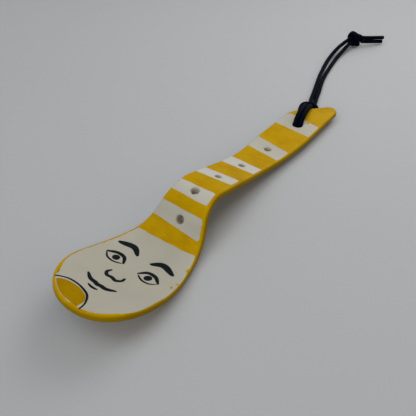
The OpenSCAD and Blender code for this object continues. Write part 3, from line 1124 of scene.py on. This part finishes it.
def add_floor():
    bpy.ops.mesh.primitive_plane_add(size=FLOOR_SIZE)
    floor = bpy.context.object
    floor.name = "floor"
    return floor


def add_area_light(name, place, size, power, colour=PLAIN, aim=Vector()):
    data = bpy.data.lights.new(name, "AREA")
    data.shape = "SQUARE"
    data.size = size
    data.energy = power
    data.color = colour
    light = bpy.data.objects.new(name, data)
    light.location = place
    light.rotation_euler = (aim - place).to_track_quat("-Z", "Y").to_euler()
    bpy.context.scene.collection.objects.link(light)


def from_angles(tilt, direction):
    tilt, direction = math.radians(tilt), math.radians(direction)
    across = math.sin(tilt)
    way = (across * math.cos(direction), across * math.sin(direction), math.cos(tilt))
    return Vector(way) * LIGHT_DISTANCE


def light_room():
    world = bpy.data.worlds.new("room")
    world.use_nodes = True
    tree = world.node_tree
    rays = add_node(tree, "ShaderNodeLightPath", {}).outputs
    seen = rays["Is Camera Ray"]
    for other in ("Is Glossy Ray", "Is Transmission Ray"):
        seen = maths(tree, "MAXIMUM", seen, rays[other])
    links = {"Value": seen, "To Min": ROOM_LIGHT, "To Max": BACKDROP}
    strength = add_node(tree, "ShaderNodeMapRange", links).outputs[0]
    feed(tree, tree.nodes["Background"], {"Color": rgb(1, 1, 1), "Strength": strength})
    bpy.context.scene.world = world
    for name, tilt, direction, power, colour in SOFT_LIGHTS:
        add_area_light(name, from_angles(tilt, direction), LIGHT_SIZE, power, colour)
    add_area_light("lamp", LAMP_AT, LAMP_SIZE, LAMP_POWER, aim=LAMP_AIM)


floor = add_floor()
light_room()
bpy.context.scene.view_settings.view_transform = "Standard"
print("lights:", [light[0] for light in SOFT_LIGHTS] + ["lamp"])

# %% [markdown]
# The materials share small groups of shader nodes. One cuts a colour off along its hand-painted
# edge, one gives brush marks, one gives clouds of slightly different colour. Every group takes
# its place from the piece's own coordinates in millimetres, so nothing slides when it moves.

# %% Shared groups of shader nodes
FLOAT, COLOUR, PLACE = "NodeSocketFloat", "NodeSocketColor", "NodeSocketVector"
SLOW_WANDER, QUICK_WANDER, QUICK_SHARE = 0.11, 0.8, 0.35
WANDER_MIDDLE = (1 + QUICK_SHARE) / 2
BRUSH_CLOUDS = 0.07
DEEP_FROM, DEEP_GAIN = 0.42, 2.6
THIN_FROM, THIN_GAIN = 0.52, 3.2


def noise_value(tree, place, scale, detail=2.0, roughness=0.5):
    links = {"Vector": place, "Scale": scale, "Detail": detail, "Roughness": roughness}
    return add_node(tree, "ShaderNodeTexNoise", links).outputs["Fac"]


def stretched(tree, place, scales):
    links = {0: place, 1: scales}
    return add_node(tree, "ShaderNodeVectorMath", links, operation="MULTIPLY").outputs[0]


def above(tree, value, start, gain):
    """How far a value lies above a start, times a gain, kept between 0 and 1."""
    over = maths(tree, "SUBTRACT", value, start, clamp=True)
    return maths(tree, "MULTIPLY", over, gain, clamp=True)


def new_group(name, inputs, outputs):
    """An empty node group with its named sockets: its tree, and its input and output nodes."""
    tree = bpy.data.node_groups.new(name, "ShaderNodeTree")
    for way, sockets in (("INPUT", inputs), ("OUTPUT", outputs)):
        for socket_name, kind in sockets:
            tree.interface.new_socket(socket_name, in_out=way, socket_type=kind)
    return tree, tree.nodes.new("NodeGroupInput").outputs, tree.nodes.new("NodeGroupOutput").inputs


def painted_edge_group():
    """Turns a depth in mm into a mask whose edge wanders and has small gaps, as a brush leaves."""
    inputs = [("Depth", FLOAT), ("Place", PLACE), ("Wander", FLOAT), ("Blur", FLOAT)]
    tree, given, result = new_group("painted_edge", inputs, [("Mask", FLOAT)])
    slow = noise_value(tree, given["Place"], SLOW_WANDER, 2.0)
    quick = noise_value(tree, given["Place"], QUICK_WANDER, 3.0)
    sway = maths(tree, "MULTIPLY_ADD", quick, QUICK_SHARE, slow)
    sway = maths(tree, "SUBTRACT", sway, WANDER_MIDDLE)
    moved = maths(tree, "MULTIPLY_ADD", sway, given["Wander"], given["Depth"])
    sharp = maths(tree, "DIVIDE", moved, given["Blur"])
    tree.links.new(maths(tree, "MULTIPLY_ADD", sharp, 0.5, 0.5, clamp=True), result["Mask"])
    return tree


def brushed_colour_group():
    """Mixes three colours by streaks along the brush and by slow clouds."""
    inputs = [("Place", PLACE), ("Streaks", PLACE)]
    inputs += [(name, COLOUR) for name in ("Middle", "Deep", "Thin")]
    outputs = [("Colour", COLOUR), ("Height", FLOAT)]
    tree, given, result = new_group("brushed_colour", inputs, outputs)
    streak = noise_value(tree, stretched(tree, given["Place"], given["Streaks"]), 1.0, 3.0, 0.6)
    deep = above(tree, noise_value(tree, given["Place"], BRUSH_CLOUDS), DEEP_FROM, DEEP_GAIN)
    thin = above(tree, streak, THIN_FROM, THIN_GAIN)
    colour = mixed(tree, deep, given["Middle"], given["Deep"])
    tree.links.new(mixed(tree, thin, colour, given["Thin"]), result["Colour"])
    tree.links.new(streak, result["Height"])
    return tree


def uneven_group():
    """Slow clouds and fine grain between 0 and 1, at sizes given in mm."""
    inputs = [("Place", PLACE)]
    inputs += [(name, FLOAT) for name in ("Cloud Size", "Grain Size", "Grain Share")]
    tree, given, result = new_group("uneven", inputs, [("Value", FLOAT)])
    cloud = noise_value(tree, given["Place"], maths(tree, "DIVIDE", 1.0, given["Cloud Size"]), 2.0)
    grain = noise_value(tree, given["Place"], maths(tree, "DIVIDE", 1.0, given["Grain Size"]), 3.0)
    tree.links.new(mixed(tree, given["Grain Share"], cloud, grain), result["Value"])
    return tree


PAINTED_EDGE = painted_edge_group()
BRUSHED_COLOUR = brushed_colour_group()
UNEVEN_GROUP = uneven_group()
print("shared groups:", [group.name for group in (PAINTED_EDGE, BRUSHED_COLOUR, UNEVEN_GROUP)])

# %% [markdown]
# A material places these groups with its own values. A new one starts with its Principled
# shader, reads a value or a place that is stored on the mesh, and adds its bumps in millimetres.

# %% Starting a material
def new_material(name):
    material = bpy.data.materials.new(name)
    material.use_nodes = True
    return material, material.node_tree, material.node_tree.nodes["Principled BSDF"]


def stored(tree, name, output="Fac"):
    return add_node(tree, "ShaderNodeAttribute", {}, attribute_name=name).outputs[output]


def use_group(tree, group, links):
    return add_node(tree, "ShaderNodeGroup", links, node_tree=group).outputs


def uneven_value(tree, place, cloud_size, grain_size, grain_share):
    sizes = {"Cloud Size": cloud_size, "Grain Size": grain_size, "Grain Share": grain_share}
    return use_group(tree, UNEVEN_GROUP, {"Place": place, **sizes})["Value"]


def bump(tree, height, distance_mm, strength, under=None):
    """A bump of some millimetres, on top of the bump under it."""
    links = {"Height": height, "Distance": distance_mm * MM, "Strength": strength}
    if under:
        links["Normal"] = under
    return add_node(tree, "ShaderNodeBump", links).outputs["Normal"]


print("a bump of one millimetre is written as", MM)

# %% [markdown]
# The glaze is a warm white over buff clay, and the white is made paler round the neck as painted
# light. Yellow was brushed on in strokes across the handle, so its streaks run that way. It is
# made darker down the rim as painted shade, and darker in the patch at the chin. Black went on
# last and lies highest. The holes are thinly glazed at the top, their white darkened downwards as
# painted shade, and bare further down, and the back is bare clay. In such soft light the glaze
# shows hardly any gloss, so its specular level is low.

# %% Colours of the glaze
WHITE = (rgb(0.43, 0.41, 0.345), rgb(0.386, 0.364, 0.300))
# painted light: a paler white for the neck, where more light falls
WHITE_PAINTED_LIT_ON_NECK = (rgb(0.52, 0.505, 0.46), rgb(0.485, 0.465, 0.42))
# painted shade: a darker white for the walls of the holes
SHADED_WHITE_IN_HOLES = rgb(0.34, 0.305, 0.225)
BUFF_CLAY = (rgb(0.30, 0.175, 0.045), rgb(0.37, 0.24, 0.08))
YELLOW = {
    "Streaks": (0.75, 0.09, 0.4),
    "Middle": rgb(0.445, 0.262, 0.0),
    "Deep": rgb(0.365, 0.186, 0.0),
    "Thin": rgb(0.50, 0.325, 0.0),
}
# painted shade: a darker yellow for the rounded rim and its wall
RIM_SHADED_YELLOW, RIM_SHADE_SHARE = rgb(0.22, 0.14, 0.0), 0.8
CHIN_TINT = rgb(0.75, 0.73, 0.7)
BLACK = {
    "Streaks": (0.3, 0.3, 0.3),
    "Middle": rgb(0.008, 0.011, 0.014),
    "Deep": rgb(0.005, 0.007, 0.010),
    "Thin": rgb(0.014, 0.018, 0.022),
}
NECK_AT = 155.0
EDGES = {"yellow": (1.1, 0.11), "black": (0.5, 0.1), "bare": (0.7, 0.15)}


def white_colour(tree, place, uneven):
    """White in soft clouds, with painted light round the neck and painted shade down the holes."""
    u, _, depth = add_node(tree, "ShaderNodeSeparateXYZ", {0: place}).outputs
    cloudy = maths(tree, "MULTIPLY_ADD", uneven, 2.2, -0.6, clamp=True)
    # Painted light: within about 60 mm of the neck's middle the white turns paler, as if more lit.
    from_neck = maths(tree, "ABSOLUTE", maths(tree, "SUBTRACT", u, NECK_AT))
    painted_neck_light = maths(tree, "MULTIPLY_ADD", from_neck, -0.025, 1.5, clamp=True)
    white = mixed(tree, painted_neck_light, mixed(tree, cloudy, *WHITE), mixed(tree, cloudy, *WHITE_PAINTED_LIT_ON_NECK))
    # Painted shade: on the hole walls the white darkens with depth below the top face.
    deep = maths(tree, "MULTIPLY_ADD", depth, -0.7, -0.25, clamp=True)
    in_hole = maths(tree, "LESS_THAN", stored(tree, "past_edge"), NOT_RIM / 2)
    return mixed(tree, maths(tree, "MULTIPLY", deep, in_hole), white, SHADED_WHITE_IN_HOLES)


def yellow_colour(tree, place, brushed):
    """Brushed yellow, darker down the rim as painted shade, and darker in the patch at the chin."""
    past = stored(tree, "past_edge")
    # Painted shade: past the edge of the top face the yellow darkens down the rim.
    down_the_rim = maths(tree, "MULTIPLY_ADD", past, 0.38, -0.5, clamp=True)
    rim_shade = maths(tree, "MULTIPLY", down_the_rim, RIM_SHADE_SHARE)
    colour = mixed(tree, rim_shade, brushed, RIM_SHADED_YELLOW)
    u = add_node(tree, "ShaderNodeSeparateXYZ", {0: place}).outputs[0]
    # The yellow of the patch is darkened, most near the chin.
    near_chin = maths(tree, "MULTIPLY_ADD", u, -0.25, 4.5, clamp=True)
    on_patch = maths(tree, "MULTIPLY", near_chin, maths(tree, "LESS_THAN", past, -0.1))
    return mixed(tree, on_patch, colour, CHIN_TINT, "MULTIPLY")


def glaze_bumps(tree, place, masks, streaks):
    """From slow waves and grains to rough clay, and the thickness of the painted layers."""
    half = maths(tree, "MULTIPLY", masks["yellow"], 0.5)
    streaky = maths(tree, "MULTIPLY", masks["yellow"], 0.35)
    layers = maths(tree, "ADD", maths(tree, "MULTIPLY_ADD", streaks, streaky, half), masks["black"])
    waves = bump(tree, noise_value(tree, place, 0.09), 0.35, 0.6)
    grains = bump(tree, noise_value(tree, place, 1.3, 4.0), 0.03, 0.5, waves)
    rough = maths(tree, "MULTIPLY", noise_value(tree, place, 2.6, 5.0, 0.7), masks["bare"])
    coarse = bump(tree, rough, 0.15, 0.9, grains)
    return bump(tree, layers, 0.07, 0.8, coarse)


print("how far each painted edge wanders and blurs, in mm:", EDGES)

# %% [markdown]
# The layers go on in the order of the real ones: white, then yellow, then black, and bare clay
# where no glaze was laid. Each is mixed over the ones before by its own mask, which comes from
# the depth that is stored on the mesh. The gloss and the bumps follow the same masks.

# %% Painted glaze
def painted_glaze():
    material, tree, shader = new_material("painted_glaze")
    place = stored(tree, "blank_place", "Vector")
    uneven = uneven_value(tree, place, 22.0, 1.6, 0.35)
    yellow = use_group(tree, BRUSHED_COLOUR, {"Place": place, **YELLOW})
    black = use_group(tree, BRUSHED_COLOUR, {"Place": place, **BLACK})
    clay = mixed(tree, noise_value(tree, place, 2.4, 4.0, 0.7), *BUFF_CLAY)
    masks = {}
    for name, (wander, blur) in EDGES.items():
        depth = stored(tree, name + "_depth")
        links = {"Depth": depth, "Place": place, "Wander": wander, "Blur": blur}
        masks[name] = use_group(tree, PAINTED_EDGE, links)["Mask"]
    colour = white_colour(tree, place, uneven)
    colour = mixed(tree, masks["yellow"], colour, yellow_colour(tree, place, yellow["Colour"]))
    colour = mixed(tree, masks["black"], colour, black["Colour"])
    colour = mixed(tree, masks["bare"], colour, clay)
    glossy = maths(tree, "MULTIPLY_ADD", uneven, 0.16, 0.27)
    roughness = maths(tree, "MULTIPLY_ADD", masks["bare"], 0.5, glossy, clamp=True)
    normal = glaze_bumps(tree, place, masks, yellow["Height"])
    feed(tree, shader, {"Base Color": colour, "Roughness": roughness, "Normal": normal})
    shader.inputs["Specular IOR Level"].default_value = 0.02
    return material


spoon.data.materials.append(painted_glaze())
print("glaze on", spoon.name)

# %% [markdown]
# The cord is smooth dyed leather, almost black with a blue cast. Its grain is fine pebbles with
# creases across the cord, and the dye has worn a little lighter in patches.

# %% Leather
DYED = (rgb(0.0008, 0.0020, 0.0052), rgb(0.0018, 0.0036, 0.0085))


def dyed_leather():
    material, tree, shader = new_material("dyed_leather")
    place = stored(tree, "cord_place", "Vector")
    uneven = uneven_value(tree, place, 9.0, 0.5, 0.4)
    links = {"Vector": place, "Scale": 2.4, "Randomness": 1.0}
    pebbles = add_node(tree, "ShaderNodeTexVoronoi", links, feature="F1").outputs["Distance"]
    creases = noise_value(tree, stretched(tree, place, (1.1, 0.25, 0.25)), 1.0, 3.0)
    worn = maths(tree, "MULTIPLY_ADD", uneven, 2.6, -1.1, clamp=True)
    roughness = maths(tree, "MULTIPLY_ADD", uneven, 0.25, 0.42)
    normal = bump(tree, creases, 0.16, 0.5, bump(tree, pebbles, 0.05, 0.5))
    colour = mixed(tree, worn, *DYED)
    feed(tree, shader, {"Base Color": colour, "Roughness": roughness, "Normal": normal})
    shader.inputs["Specular IOR Level"].default_value = 0.012
    return material


leather = dyed_leather()
for piece in (*cord_pieces, knot):
    piece.data.materials.append(leather)
print("leather on six pieces")

# %% [markdown]
# The table is plain and matt, with only a trace of unevenness. The photograph shows its white as
# a pale grey, and it is written as that grey, because these lights show a colour about as it is
# written.

# %% Table
TABLE = (rgb(0.404, 0.412, 0.419), rgb(0.388, 0.396, 0.403))
MM_PER_M = (1000.0, 1000.0, 1000.0)


def matt_table():
    material, tree, shader = new_material("matt_white")
    place = add_node(tree, "ShaderNodeTexCoord", {}).outputs["Object"]
    uneven = uneven_value(tree, stretched(tree, place, MM_PER_M), 160.0, 1.0, 0.25)
    tree.links.new(mixed(tree, uneven, *TABLE), shader.inputs["Base Color"])
    shader.inputs["Roughness"].default_value = 0.75
    shader.inputs["Specular IOR Level"].default_value = 0.25
    return material


floor.data.materials.append(matt_table())
print("materials:", [material.name for material in bpy.data.materials])
